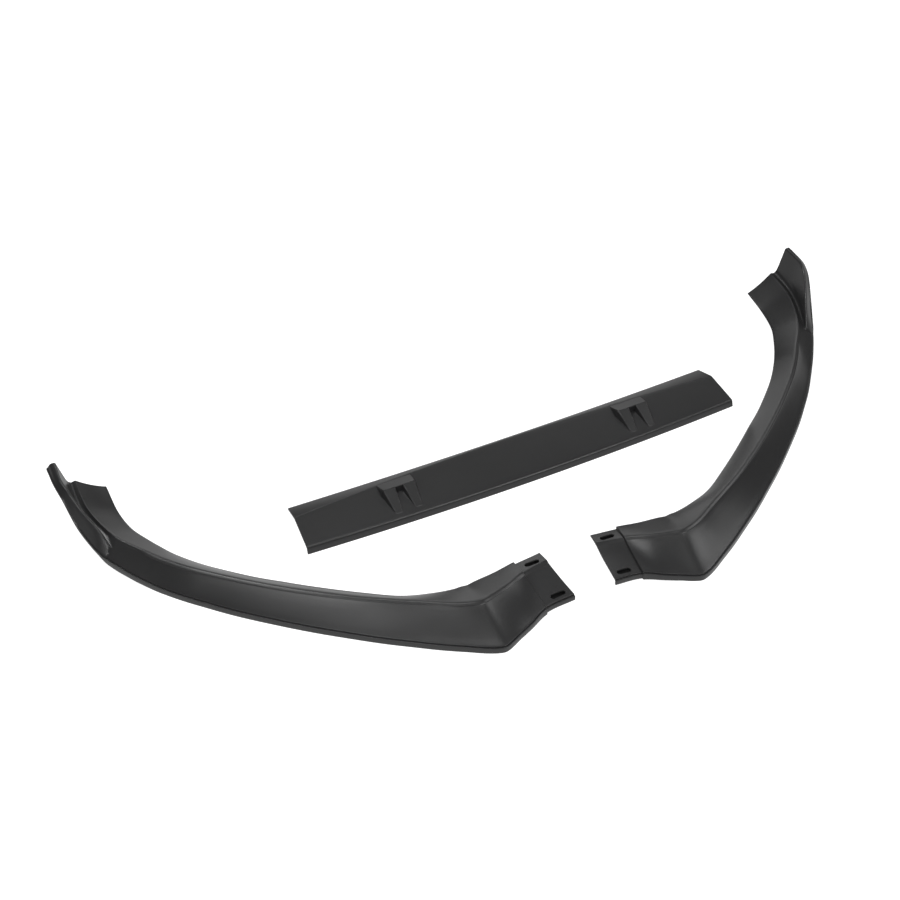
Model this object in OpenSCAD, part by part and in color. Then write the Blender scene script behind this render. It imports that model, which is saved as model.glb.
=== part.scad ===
// Front splitter lip for a car bumper: two corner lips with an upturned rear fin and a centre lip.
// The pieces lie side by side on their front edges, as they come out of the box.
// Each corner lip is a thin moulded shell: sections are set across the ridge and lofted along it.

/* [Shell] */
// Thickness of the moulded walls
wall = 3; // [2:0.25:4]
// Distance between two sections along the ridge
section_step = 12; // [8:1:20]

/* [Corner lip] */
// Depth from the front corner to the cut rear end
corner_depth = 500; // [480:1:520]
// Distance of the front corner from the set's middle
corner_x = 154; // [150:1:170]
// Height of the ridge over the front corner
ridge_h = 36; // [32:1:42]
// Half width of the rounding on the ridge
ridge_r = 2.5; // [1:0.5:3]
// Height of the upright front strip at the corner
strip_h = 9.5; // [9:0.5:14]
// Width of the small ledge on top of the front strip
ledge_w = 2.5; // [1:0.5:4]
// Depth of the step down from the face to that ledge
ledge_step = 1.2; // [0.5:0.1:2]
// How far the foot of the strip stands out past its top
strip_draft = 0.5; // [0:0.5:2]

/* [Rear fin] */
// Height of the fin's crest
fin_h = 99.5; // [80:0.5:110]
// Height of the outer rim behind the fin's rounded corner
rim_h = 95; // [76:1:106]
// Depth of the rim's edge
rim_edge = 4.5; // [2.5:0.5:5]
// Width of the rounding on the crest
crest_w = 2.5; // [1:0.5:3]

/* [Mounting tongue] */
// Reach of the tongue past the body
tongue_reach = 42; // [34:1:46]
// How far the tongue lies below the body's skin
tongue_drop = 3; // [2:0.5:5]
// How far the tongue's edges lie inside the body's edges
tongue_inset = 2; // [0:0.5:4]
// Height of the turned-down lip at the tongue's front
tongue_lip_h = 8; // [6:1:10]
// Length of a slot
slot_len = 22; // [14:1:26]
// Width of a slot
slot_w = 8; // [5:0.5:10]
// Distance of the rear slot from the set's middle
rear_slot_x = 59; // [56:0.5:62]
// Distance of the rear slot behind the front corner
rear_slot_y = 107; // [104:0.5:110]
// Distance of the front slot from the set's middle
front_slot_x = 51; // [48:0.5:56]
// Distance of the front slot behind the front corner
front_slot_y = 45; // [42:0.5:60]

/* [Centre lip] */
// Length along the back edge
centre_len = 701; // [660:1:740]
// How much each end leans outwards from back to front
end_lean = 6; // [0:1:12]
// Depth at the ends
centre_depth = 90; // [80:1:100]
// Forward bow of the front edge at the middle
front_bow = 10; // [0:1:16]
// Forward bow of the back edge at the middle
back_bow = 18; // [10:1:24]
// Height of the front strip
centre_strip_h = 11; // [8:1:14]
// Height of the back edge at the ends
back_h_end = 9.5; // [8:0.5:12]
// Height of the back edge at the middle
back_h_mid = 22; // [18:0.5:22.5]
// Height of the plate's rear fold at the ends
fold_h_end = 20; // [18:0.5:22]
// Height of the plate's rear fold at the middle
fold_h_mid = 25.5; // [24:0.5:28]
// Width of the sloping band behind the fold at the ends
band_end = 32; // [26:1:36]
// Width of that band at the middle
band_mid = 5; // [4:0.5:8]

/* [Centre lip tabs] */
// Distance of a tab's middle from the lip's middle
tab_x = 196; // [150:1:240]
// Width of a tab's raised top
tab_w = 50; // [44:1:60]
// How far a tab's foot spreads past its top on each side
tab_spread = 11; // [6:1:14]
// Height of a tab's front edge
tab_h = 31; // [27:1:34]
// Distance of a tab's front edge from the back edge line
tab_front = 49; // [46:1:54]
// Distance of the ribs' tips from the back edge line
rib_tip = 84; // [80:1:86]
// Width of a rib at the tab
rib_w = 19; // [16:1:21]
// Width of a rib at its tip
rib_tip_w = 11; // [8:1:14]

/* [Layout of the set] */
// Place of the centre lip's middle to the right of the set's middle
centre_x = 30; // [0:1:60]
// Place of the centre lip's back edge behind the corner lips' front
centre_y = 373; // [340:1:390]
// Turn of the centre lip
centre_turn = 1.4; // [0:0.1:3]

/* [Hidden] */
plastic = [0.09, 0.09, 0.095];
round_fn = 48;

// The ridge of the right corner lip, from the tongue's end to the rear end.
// Each point is measured from the front corner, outwards, backwards and up from ridge_h.
ridge_points = [
    [-115, 98, -7], [-75, 90.5, -7.5], [-46.5, 77.5, -4], [-11, 66, -1.5], [3, 63, 0],
    [31, 71, 0], [66, 90, 0], [148, 134.5, 3], [238, 198, 2.4], [325, 273, 1],
    [367, 319, 0], [399, 365, 2], [418, 397.5, 6.5], [432, 444, 14], [434, corner_depth, 20]
];

// Laws of the section. Each knot holds the distance along the ridge from the step of the
// tongue, then the value there. Lengths run across the ridge, heights are above the floor.
section_turn = [[-50, -96], [0, -94], [83, -92], [112, -76], [152, -62], [245, -59], [356, -51],
    [470, -46], [533, -39], [604, -30], [652, -17], [675, -9], [700, -3], [730, 0]];
flange_run = [[-50, 24], [0, 29.5], [31, 38], [83, 48.5], [112, 44], [152, 35.2], [192, 30.2],
    [245, 33.7], [356, 36.6], [413, 34.6], [566, 35.2], [626, 38.6], [675, 42], [730, 41.5]];
flange_bow = [[-50, 0], [83, 0.6], [300, 1], [566, 0.6], [640, 0], [675, -1.2], [730, -2.6]];
flange_edge_h = [[-50, 28], [0, 25], [83, 21.5], [192, 16], [299, 12], [356, 10.5], [413, 11],
    [533, 13], [566, 15.5], [626, 18], [675, 20.5], [700, 23.5], [730, 27]];
face_run = [[-50, 70.5], [0, 61.2], [51, 61], [83, 64.5], [112, 52.8], [152, 48.8], [192, 44.7],
    [245, 38.9], [299, 35.6], [356, 32.7], [413, 30.8], [470, 28], [533, 26.7], [566, 27.8],
    [589, 28.4], [626, 28.4], [652, 30], [675, 31.5], [700, 34.3], [730, 35]];
strip_rise = [[-50, 15.5], [0, 8], [31, 4], [60, 0.5], [83, 0], [500, 0], [520, 0.3], [533, 1.1],
    [566, 5.2], [604, 11.5]];
foot_h = [[-50, 17], [0, 6], [31, 3.5], [60, 0.5], [69, 0], [520, 0], [533, 0.8], [566, 4.6],
    [604, 11.5], [626, 25.5]];

// The fin leaves the face at its tip and rises to full height behind it. Its inner side has
// a shoulder by the ridge, a shallow valley and a base from which the wall climbs to the crest.
fin_tip = 606;
fin_start = 14;
shoulder = [[606, [12, 32]], [613, [7, 35.5]], [620, [3.6, 38]], [652, [3.8, 43.2]],
    [675, [4.4, 46.8]], [700, [4.4, 51]], [730, [3.5, 54.9]]];
valley = [[606, [12.5, 31.8]], [613, [11.4, 33.6]], [626, [9.4, 37.4]], [652, [8.6, 42]],
    [675, [8.4, 45.4]], [700, [7.6, 49.6]], [730, [6.4, 54]]];
fin_base = [[606, [12.9, 31.6]], [613, [11.8, 35]], [626, [10.6, 40]], [652, [11.4, 46]],
    [675, [12, 50.6]], [700, [12, 54.6]], [730, [11.2, 58.8]]];
// Crest and rim: run across the ridge, then the share of the full height
crest = [[606, [13.3, 0.32]], [613, [12.2, 0.404]], [626, [11.6, 0.547]], [652, [15.4, 0.73]],
    [675, [19.2, 0.925]], [690, [21.6, 0.982]], [700, [22.2, 0.996]], [730, [21, 1]]];
rim = [[604, 0.22], [626, 0.32], [652, 0.54], [675, 0.85], [690, 0.94], [700, 0.96],
    [730, 0.975]];
// Near its end the fin's outer side is domed: rise of a point between crest and rim
cap_rise = [[606, 0], [675, 0.2], [700, 1], [730, 2.8]];
cap_share = 0.6;
// The small ledge runs on below the fin, then fades out.
ledge_end = 640;
ledge_fade = 50;

// Arithmetic helpers
function clamp01(v) = max(0, min(1, v));
function mix(a, b, t) = a + (b - a) * t;
function knot_at(k, s, i = 0) = (i >= len(k) - 2 || s < k[i + 1][0]) ? i : knot_at(k, s, i + 1);
function knot_slope(k, i) =
    let (a = max(0, i - 1), b = min(len(k) - 1, i + 1))
    (k[b][1] - k[a][1]) / (k[b][0] - k[a][0]);

// Value of a law at s: a smooth cubic between its knots
function law(k, s) =
    let (
        i = knot_at(k, s),
        w = k[i + 1][0] - k[i][0],
        t = (s - k[i][0]) / w,
        t2 = t * t,
        t3 = t2 * t
    )
    k[i][1] * (2 * t3 - 3 * t2 + 1) + knot_slope(k, i) * w * (t3 - 2 * t2 + t)
    + k[i + 1][1] * (3 * t2 - 2 * t3) + knot_slope(k, i + 1) * w * (t3 - t2);

// Distance along the ridge of each of its points, counted from the step of the tongue
step_point = 1;
function plan(p) = [p[0], p[1]];
function chord(i) = norm(plan(ridge_points[i]) - plan(ridge_points[i - 1]));
function walked(i) = i == 0 ? 0 : walked(i - 1) + chord(i);
ridge_path = [for (i = [0:len(ridge_points) - 1])
    [walked(i) - walked(step_point), ridge_points[i] + [corner_x, 0, ridge_h]]];
ridge_end = ridge_path[len(ridge_path) - 1][0];

// Height of the outer edge of the face: the front strip's top, then within rim_blend the fin's rim
rim_blend = 12;
function edge_h(s) = s < rim[0][0] ? strip_h + law(strip_rise, s)
    : mix(strip_h + law(strip_rise, rim[0][0]), rim_h * law(rim, s), clamp01((s - rim[0][0]) / rim_blend));

// Height of the foot below that edge, which reaches the rim within foot_climb
foot_climb = 20;
function foot_z(s) = let (
        g = clamp01((s - fin_tip) / foot_climb),
        low = max(0, law(foot_h, min(s, foot_h[len(foot_h) - 1][0])))
    )
    mix(low, edge_h(s) - rim_edge, g);

// Runs of the spare corners in front of the fin, at its tip and as shares of the face
tip_runs = [12, 12.5, 12.9, 13.3, 13.8];
face_shares = [0.25, 0.38, 0.5, 0.62, 0.76];
tip_spread = 60;
// Rise of the face's toe over the ledge, so that the ledge reads as a groove
ledge_rise = 0.2;
// Share of a corner's width by which its rounding lies below the sharp corner
round_drop = 0.75;
crest_drop = 0.6;
// The wall's inside follows the fin once it stands hollow_from high, fully hollow_climb further up
hollow_from = 6;
hollow_climb = 14;
// Thickness of the rim's edge, and the least height of the wall over it
rim_t = 1;
least_wall = 0.5;

// Section across the ridge at s, as [run, height] points: the skin from the inner edge to
// the foot, then the inside of the wall back to the inner edge.
function body_section(s, drop = 0, inset = 0, lip = 0) =
    let (
        top = law(ridge_path, s)[2] - drop,
        flange = law(flange_run, s) - inset,
        flange_z = law(flange_edge_h, s) - drop,
        fin = clamp01((s - fin_tip) / fin_start),
        faded = clamp01((s - ledge_end) / ledge_fade),
        foot_run = law(face_run, s) - inset,
        face = foot_run - strip_draft * (1 - fin),
        edge_z = edge_h(s) - drop,
        low = lip > 0 ? edge_z - lip : foot_z(s),
        toe = [face - ledge_w, edge_z + (ledge_step + ledge_rise) * (1 - faded)],
        flange_slope = (top - flange_z) / flange,
        face_slope = (top - toe[1]) / toe[0],
        spread = clamp01((fin_tip - s) / tip_spread),
        on_face = [for (i = [0:4])
            let (u = mix(tip_runs[i], face_shares[i] * face, spread)) [u, top - face_slope * u]],
        crest_now = law(crest, s),
        crest_z = crest_now[1] * fin_h,
        s_pt = s <= fin_tip ? on_face[0] : law(shoulder, s),
        w_pt = s <= fin_tip ? on_face[1] : law(valley, s),
        b_pt = s <= fin_tip ? on_face[2] : law(fin_base, s),
        k_in = s <= fin_tip ? on_face[3] : [crest_now[0], crest_z - crest_w * crest_drop],
        k_out = s <= fin_tip ? on_face[4] : [crest_now[0] + crest_w, crest_z],
        out_slope = (k_out[1] - toe[1]) / (toe[0] - k_out[0]),
        toe_now = mix(toe, [toe[0], edge_z + ledge_w * (k_out[1] - edge_z) / (face - k_out[0])], faded),
        cap = mix(k_out, toe_now, cap_share) + [0, s <= fin_tip ? 0 : law(cap_rise, s)],
        out_cut = wall * sqrt(1 + out_slope * out_slope),
        face_cut = wall * sqrt(1 + face_slope * face_slope),
        flange_cut = wall * sqrt(1 + flange_slope * flange_slope),
        rise = k_out[1] - w_pt[1],
        deep = s <= fin_tip ? 0 : clamp01((rise - hollow_from) / hollow_climb),
        foot_w = mix(wall, rim_t, fin),
        foot = [foot_run, low],
        strip_in = [face - wall, max(low + least_wall, toe[1] + out_slope * (wall - ledge_w) - out_cut)],
        foot_in = [foot[0] - foot_w, mix(low, min(low + least_wall, strip_in[1]), fin)],
        flat_w = [w_pt[0], w_pt[1] - face_cut],
        flat_k = mix(flat_w, strip_in, (k_in[0] - w_pt[0]) / (strip_in[0] - w_pt[0])),
        flat_wk = mix(flat_w, flat_k, 0.5),
        fin_k = [k_in[0] + wall, k_out[1] - out_slope * (wall - crest_w) - out_cut],
        fin_wk = [w_pt[0] + wall, w_pt[1] - 1],
        unit_f = [1, flange_slope] / sqrt(1 + flange_slope * flange_slope)
    )
    [
        [-flange, flange_z],
        [-flange / 2, flange_z + flange_slope * flange / 2 + law(flange_bow, s)],
        [-ridge_r, top - round_drop * flange_slope * ridge_r],
        [0, top],
        [ridge_r, top - round_drop * face_slope * ridge_r],
        s_pt,
        w_pt,
        b_pt,
        k_in,
        k_out,
        cap,
        toe_now,
        [face, edge_z],
        foot,
        foot_in,
        strip_in,
        mix(flat_k, fin_k, deep),
        mix(flat_wk, fin_wk, deep),
        [w_pt[0] - 0.5 * deep, w_pt[1] - face_cut],
        [s_pt[0] - deep, s_pt[1] - face_cut],
        [0, top - max(flange_cut, face_cut)],
        [-flange / 2, flange_z + flange_slope * flange / 2 + law(flange_bow, s) - flange_cut],
        [-flange, flange_z] + wall * [unit_f[1], -unit_f[0]]
    ];

// Places a section across the ridge at s
function placed(s, points) =
    let (p = law(ridge_path, s), a = law(section_turn, s))
    [for (q = points) [p[0] + q[0] * cos(a), p[1] + q[0] * sin(a), q[1]]];

// Closed skin over a row of rings of equal length
module skin(rings) {
    m = len(rings[0]);
    n = len(rings);
    polyhedron(
        points = [for (r = rings) each r],
        faces = concat(
            [[for (j = [0:m - 1]) j]],
            [for (i = [0:n - 2], j = [0:m - 1]) each let (
                    a = i * m + j,
                    b = i * m + (j + 1) % m
                )
                [[a, a + m, b + m], [a, b + m, b]]],
            [[for (j = [m - 1:-1:0]) (n - 1) * m + j]]
        )
    );
}

// Places of the sections along the body: even, and closer around the fin's tip
tip_steps = [-16, -11, -7, -3, 0, 2, 4, 7, 10, 14, 19, 25, 32, 40, 50];
tip_last = tip_steps[len(tip_steps) - 1];
even_count = ceil((fin_tip + tip_steps[0]) / section_step);
rear_count = ceil((ridge_end - fin_tip - tip_last) / (section_step * 0.75));
body_stations = concat(
    [for (i = [0:even_count - 1]) i * (fin_tip + tip_steps[0]) / even_count],
    [for (d = tip_steps) fin_tip + d],
    [for (i = [1:rear_count]) mix(fin_tip + tip_last, ridge_end, i / rear_count)]
);
// Places of the sections along the tongue, which falls to its level within the joggle
joggle = 2.5;
tongue_stations = concat([for (t = [1, 0.75, 0.5, 0.25]) -tongue_reach * t], [-joggle]);

// Upright cutter of one slot
module slot_cutter(x, y) {
    for (side = [-1, 1])
        translate([x + side * (slot_len - slot_w) / 2, y, 0])
            cylinder(d = slot_w, h = 2 * ridge_h, $fn = round_fn);
    translate([x - (slot_len - slot_w) / 2, y - slot_w / 2, 0])
        cube([slot_len - slot_w, slot_w, 2 * ridge_h]);
}

// The right corner lip, with its front corner on y = 0
module corner_lip() {
    difference() {
        skin(concat(
            [for (s = tongue_stations)
                placed(s, body_section(s, tongue_drop, tongue_inset, tongue_lip_h))],
            [for (s = body_stations) placed(s, body_section(s))]
        ));
        slot_cutter(rear_slot_x, rear_slot_y);
        slot_cutter(front_slot_x, front_slot_y);
    }
}

// Centre lip. x runs from its middle, y from the line through the ends of its back edge.
function bow(x) = 1 - pow(2 * x / centre_len, 2);
function back_y(x) = -back_bow * bow(x);
function back_z(x) = mix(back_h_end, back_h_mid, bow(x));
function fold_y(x) = back_y(x) - mix(band_end, band_mid, bow(x));
function fold_z(x) = mix(fold_h_end, fold_h_mid, bow(x));
function front_y(x) = -centre_depth - front_bow * bow(x);
// How far the plate's front bend lies behind the foot, its rounding and how that rounding leans
bend_in = 3.5;
bend_r = 1.5;
bend_lean = 0.6;
function plate_slope(x) = (fold_z(x) - centre_strip_h) / (fold_y(x) - front_y(x) - bend_in);
function plate_z(x, y) = fold_z(x) - plate_slope(x) * (fold_y(x) - y);

// Section of the centre lip, which leans outwards to its front at the ends
function centre_section(x) =
    let (
        k = plate_slope(x),
        band = (fold_z(x) - back_z(x)) / (back_y(x) - fold_y(x)),
        band_cut = wall / sqrt(1 + band * band),
        bend_y = front_y(x) + bend_in,
        skin_side = [
            [back_y(x), back_z(x)],
            [fold_y(x) + bend_r, fold_z(x) - round_drop * bend_r * band],
            [fold_y(x) - bend_r, fold_z(x) - bend_r * k],
            [bend_y + bend_r, centre_strip_h + bend_r * k],
            [bend_y, centre_strip_h],
            [bend_y - bend_lean * bend_r, centre_strip_h - bend_r],
            [front_y(x), 0]
        ],
        wall_side = [
            [front_y(x) + wall, 0],
            [bend_y - bend_lean * bend_r + wall, centre_strip_h - wall],
            [fold_y(x), fold_z(x) - wall],
            [back_y(x) - band_cut * band, back_z(x) - band_cut]
        ],
        lean = end_lean * x * 2 / (centre_len * centre_depth)
    )
    [for (p = concat(skin_side, wall_side)) [x - lean * p[0], p[0], p[1]]];

// Solid with a four-cornered top and a four-cornered foot, both listed anticlockwise
module frustum(top, foot) {
    polyhedron(
        points = concat(foot, top),
        faces = [[0, 1, 2, 3], [7, 6, 5, 4], [0, 4, 5, 1], [1, 5, 6, 2], [2, 6, 7, 3], [3, 7, 4, 0]]
    );
}

// Depth of the tab's foot in the plate's wall, and of its hollow's foot below the plate
tab_bed = 0.9 * wall;
hollow_foot = 2 * wall;
// How far the tab's solid top stays in front of the back edge, and its ribs' tops above the plate
tab_set_in = 1;
rib_rise = 0.1;
// How far a rib's foot runs on under the tab
rib_overlap = 2;

// Raised tab with its two tapering ribs; cut is how far the form lies inside the outer skin
module tab_form(cut) {
    half = tab_w / 2 - cut;
    foot_half = tab_w / 2 + tab_spread - cut;
    front = -tab_front + cut;
    sink = cut > 0 ? -hollow_foot : -tab_bed;
    back = cut > 0 ? -cut : -tab_set_in;
    function on(x, y, dz) = [x, y, plate_z(x, y) + dz];
    function at_back(x, dz) = [x, back_y(x) + back, back_z(x) + dz];
    top_z = tab_h - cut;
    frustum(
        [[tab_x - half, front, top_z], [tab_x + half, front, top_z],
            at_back(tab_x + foot_half, -cut), at_back(tab_x - foot_half, -cut)],
        [on(tab_x - foot_half, front, sink), on(tab_x + foot_half, front, sink),
            at_back(tab_x + foot_half, sink), at_back(tab_x - foot_half, sink)]
    );
    for (side = [-1, 1]) {
        outer = tab_w / 2 - cut;
        inner = tab_w / 2 - rib_w + cut;
        tip_out = (tab_w + rib_tip_w - rib_w) / 2 - cut * 0.5;
        tip_in = tip_out - rib_tip_w + cut;
        tip = -rib_tip + 2 * cut;
        a = side > 0 ? [inner, outer] : [-outer, -inner];
        b = side > 0 ? [tip_in, tip_out] : [-tip_out, -tip_in];
        reach = side > 0 ? [inner - rib_overlap, foot_half] : [-foot_half, rib_overlap - inner];
        frustum(
            [on(tab_x + b[0], tip, rib_rise - cut), on(tab_x + b[1], tip, rib_rise - cut),
                [tab_x + a[1], front, top_z], [tab_x + a[0], front, top_z]],
            [on(tab_x + b[0], tip, sink), on(tab_x + b[1], tip, sink),
                on(tab_x + reach[1], front, sink), on(tab_x + reach[0], front, sink)]
        );
    }
}

// Centre lip without its tabs, in even sections
centre_sections = 36;
module centre_shell() {
    half = centre_len / 2;
    skin([for (i = [0:centre_sections]) centre_section(mix(-half, half, i / centre_sections))]);
}

// Moves a piece from the front corner's frame to the middle of the set
module in_set() {
    translate([0, -corner_depth / 2, 0]) children();
}

module right_corner_lip() {
    color(plastic) in_set() corner_lip();
}

module left_corner_lip() {
    color(plastic) in_set() mirror([1, 0, 0]) corner_lip();
}

module centre_lip() {
    color(plastic) in_set() translate([centre_x, centre_y, 0]) rotate([0, 0, centre_turn])
        difference() {
            union() {
                centre_shell();
                tab_form(0);
                mirror([1, 0, 0]) tab_form(0);
            }
            tab_form(wall);
            mirror([1, 0, 0]) tab_form(wall);
        }
}

left_corner_lip();
right_corner_lip();
centre_lip();
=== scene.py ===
"""Looks of the front splitter lip: two corner lips with upturned rear fins and a bowed centre lip.

The pieces are moulded in satin black plastic and lie side by side on a pale floor.
Sizes in the classes are in millimetres, and every mesh is made in metres in the frame of the solids.
"""

import logging
import math
from dataclasses import dataclass
from enum import Enum
from typing import Any

import bpy
import numpy as np
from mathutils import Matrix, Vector


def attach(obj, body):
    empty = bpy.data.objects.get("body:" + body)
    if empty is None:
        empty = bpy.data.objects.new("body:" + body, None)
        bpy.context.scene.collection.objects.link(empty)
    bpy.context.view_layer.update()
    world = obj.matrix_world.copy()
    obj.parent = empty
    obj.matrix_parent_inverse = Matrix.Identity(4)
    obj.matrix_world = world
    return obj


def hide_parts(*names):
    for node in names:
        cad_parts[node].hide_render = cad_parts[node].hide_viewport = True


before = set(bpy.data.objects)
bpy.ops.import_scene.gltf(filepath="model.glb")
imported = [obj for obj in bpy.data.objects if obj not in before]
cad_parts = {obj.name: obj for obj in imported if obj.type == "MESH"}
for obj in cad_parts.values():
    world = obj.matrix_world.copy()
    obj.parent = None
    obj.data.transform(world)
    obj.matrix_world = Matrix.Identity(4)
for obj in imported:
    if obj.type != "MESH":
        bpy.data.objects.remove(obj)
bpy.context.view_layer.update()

MM = 0.001
TINY = 1e-6
END_ROUND = 0.4  # rounding of the cut ends of the lips
MAX_CUT_SHARE = 0.45  # part of a side of the section that one corner's curve may use up
LOG = logging.getLogger("splitter_lip")


class Side(Enum):
    """Side of the set on which a corner lip lies."""

    LEFT = -1
    RIGHT = 1


class Slot(Enum):
    """Names of two material slots, which this script does not use."""

    CORNER = "corner_plastic"
    CENTRE = "centre_plastic"


# ---- Laws and sections

@dataclass(frozen=True)
class Law:
    """A value that changes smoothly along a path, given at knots."""

    knots: tuple[tuple[float, Any], ...]

    def __call__(self, s: np.ndarray) -> np.ndarray:
        """Value at each distance.

        Args:
            s: Distances along the path.

        Returns:
            One value, or one row of values, for each distance.
        """
        places = np.array([k[0] for k in self.knots], float)
        values = np.array([k[1] for k in self.knots], float)
        order = np.arange(len(places))
        lower, upper = np.maximum(order - 1, 0), np.minimum(order + 1, len(places) - 1)
        gaps = places[upper] - places[lower]
        slopes = (values[upper] - values[lower]) / (gaps[:, None] if values.ndim > 1 else gaps)
        i = np.clip(np.searchsorted(places, s, side="right") - 1, 0, len(places) - 2)
        width = places[i + 1] - places[i]
        t = (s - places[i]) / width
        if values.ndim > 1:
            width, t = width[:, None], t[:, None]
        t2, t3 = t * t, t * t * t
        return (values[i] * (2 * t3 - 3 * t2 + 1) + slopes[i] * width * (t3 - 2 * t2 + t)
                + values[i + 1] * (3 * t2 - 2 * t3) + slopes[i + 1] * width * (t3 - t2))


def mix(a: np.ndarray, b: np.ndarray, t: np.ndarray) -> np.ndarray:
    """Value between a and b at share t."""
    return a + (b - a) * t


def ease(v: np.ndarray) -> np.ndarray:
    """Share from 0 to 1 that starts and ends gently."""
    v = np.clip(v, 0, 1)
    return v * v * (3 - 2 * v)


def points(run: np.ndarray, height: np.ndarray) -> np.ndarray:
    """Rail of [run, height] points, one for each station."""
    return np.stack(np.broadcast_arrays(run, height), axis=-1)


def turned_corners(rails: list[tuple[np.ndarray, Any, int]]) -> np.ndarray:
    """Closed rings in which every corner becomes a short curve.

    Args:
        rails: For each corner its points at all stations, how far the curve starts from the
            corner, and the number of steps on the curve.

    Returns:
        Rings as an array of stations, points and [run, height].
    """
    out = []
    for k, (here, cut, steps) in enumerate(rails):
        arms = []
        for other in (rails[k - 1][0], rails[(k + 1) % len(rails)][0]):
            arm = other - here
            length = np.maximum(np.linalg.norm(arm, axis=-1, keepdims=True), TINY)
            start = np.reshape(cut, (-1, 1))
            arms.append(here + arm / length * np.minimum(start, MAX_CUT_SHARE * length))
        for j in range(steps + 1):
            t = j / steps
            out.append(arms[0] * (1 - t) ** 2 + here * 2 * t * (1 - t) + arms[1] * t * t)
    return np.stack(out, axis=1)


def pinched(ring: np.ndarray, depth: float) -> np.ndarray:
    """Ring drawn in by depth on all sides, for the rounded edge of a cut end.

    Args:
        ring: Points of the ring.
        depth: How far every point moves inwards.

    Returns:
        The smaller ring.
    """
    along = np.roll(ring, -1, axis=0) - np.roll(ring, 1, axis=0)
    along /= np.maximum(np.linalg.norm(along, axis=-1, keepdims=True), TINY)
    normal = np.stack([along[:, 1], -along[:, 0]], axis=-1)
    area = np.sum(ring[:, 0] * np.roll(ring[:, 1], -1) - ring[:, 1] * np.roll(ring[:, 0], -1))
    return ring - normal * depth * np.sign(area)


def lofted(name: str, rings: np.ndarray) -> bpy.types.Mesh:
    """Closed mesh over a row of rings.

    Args:
        name: Name of the mesh.
        rings: Array of stations, points and [x, y, z], in metres.

    Returns:
        The mesh, with its faces pointing outwards.
    """
    n, m = rings.shape[:2]
    faces = [tuple(range(m)), tuple(range(n * m - 1, (n - 1) * m - 1, -1))]
    for i in range(n - 1):
        for j in range(m):
            a, b = i * m + j, i * m + (j + 1) % m
            faces.append((a, a + m, b + m, b))
    mesh = bpy.data.meshes.new(name)
    mesh.from_pydata(rings.reshape(-1, 3).tolist(), [], faces)
    mesh.validate()
    return mesh


def linked(name: str, data: bpy.types.ID) -> bpy.types.Object:
    """New object with the data, linked to the scene.

    Args:
        name: Name of the object.
        data: Its mesh, curve, lamp or camera.

    Returns:
        The object.
    """
    made = bpy.data.objects.new(name, data)
    bpy.context.scene.collection.objects.link(made)
    return made


def aimed(thing: bpy.types.Object, target: Vector, azimuth: float, elevation: float,
          distance: float) -> None:
    """Places a lamp or camera so that it looks at the target.

    Args:
        thing: The lamp or camera.
        target: Point to look at, in metres.
        azimuth: Its direction from the target in degrees, from the front towards the right.
        elevation: Its height over the target in degrees.
        distance: Its distance from the target in metres.
    """
    a, e = math.radians(azimuth), math.radians(elevation)
    back = Vector((math.sin(a) * math.cos(e), -math.cos(a) * math.cos(e), math.sin(e)))
    thing.location = target + back * distance
    thing.rotation_mode = "QUATERNION"
    thing.rotation_quaternion = (-back).to_track_quat("-Z", "Y")


# ---- Node trees

class NodeTree:
    """Short calls for filling a node tree."""

    def __init__(self, tree: bpy.types.NodeTree) -> None:
        """Keeps the tree and puts nothing in it."""
        self.tree = tree

    @classmethod
    def of_material(cls, made: bpy.types.ID) -> "NodeTree":
        """Emptied node tree of a new material or world.

        Args:
            made: The material or world.

        Returns:
            Calls for filling its tree.
        """
        made.use_nodes = True
        made.node_tree.nodes.clear()
        return cls(made.node_tree)

    def surface(self, shader: bpy.types.Node, end: str = "ShaderNodeOutputMaterial") -> None:
        """Ends the tree with the shader as its surface."""
        self.put(self.node(end).inputs["Surface"], shader.outputs[0])

    def node(self, kind: str, inputs: dict[Any, Any] | None = None, **settings: Any) -> bpy.types.Node:
        """New node.

        Args:
            kind: Type name of the node.
            inputs: Values or sockets for its inputs, by name or number.
            settings: Other settings of the node.

        Returns:
            The node.
        """
        made = self.tree.nodes.new(kind)
        for key, value in settings.items():
            setattr(made, key, value)
        for key, value in (inputs or {}).items():
            self.put(made.inputs[key], value)
        return made

    def put(self, socket: bpy.types.NodeSocket, value: Any) -> None:
        """Links a socket to an input, or sets the input's value.

        Args:
            socket: The input.
            value: Socket to link to it, or its value.
        """
        if isinstance(value, bpy.types.NodeSocket):
            self.tree.links.new(value, socket)
        else:
            socket.default_value = value

    def math(self, operation: str, *values: Any) -> bpy.types.NodeSocket:
        """Result of a Math node on up to three values."""
        return self.shader("Math", dict(enumerate(values)), operation=operation).outputs[0]

    def ranged(self, value: Any, source: tuple[float, float], target: tuple[float, float],
               curve: str = "SMOOTHSTEP") -> bpy.types.NodeSocket:
        """Value moved from the source range into the target range.

        Args:
            value: Value or socket.
            source: Range that the value comes from.
            target: Range that it goes to.
            curve: Interpolation of the node.

        Returns:
            Output of the node.
        """
        return self.shader("MapRange", {
            "Value": value, "From Min": source[0], "From Max": source[1],
            "To Min": target[0], "To Max": target[1]}, interpolation_type=curve).outputs[0]

    def shader(self, kind: str, inputs: dict[Any, Any] | None = None, **settings: Any) -> bpy.types.Node:
        """New node of the ShaderNode family."""
        return self.node("ShaderNode" + kind, inputs, **settings)

    def vector(self, x: Any, y: Any, z: Any) -> bpy.types.NodeSocket:
        """Vector put together from three values."""
        return self.shader("CombineXYZ", {"X": x, "Y": y, "Z": z}).outputs[0]


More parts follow.
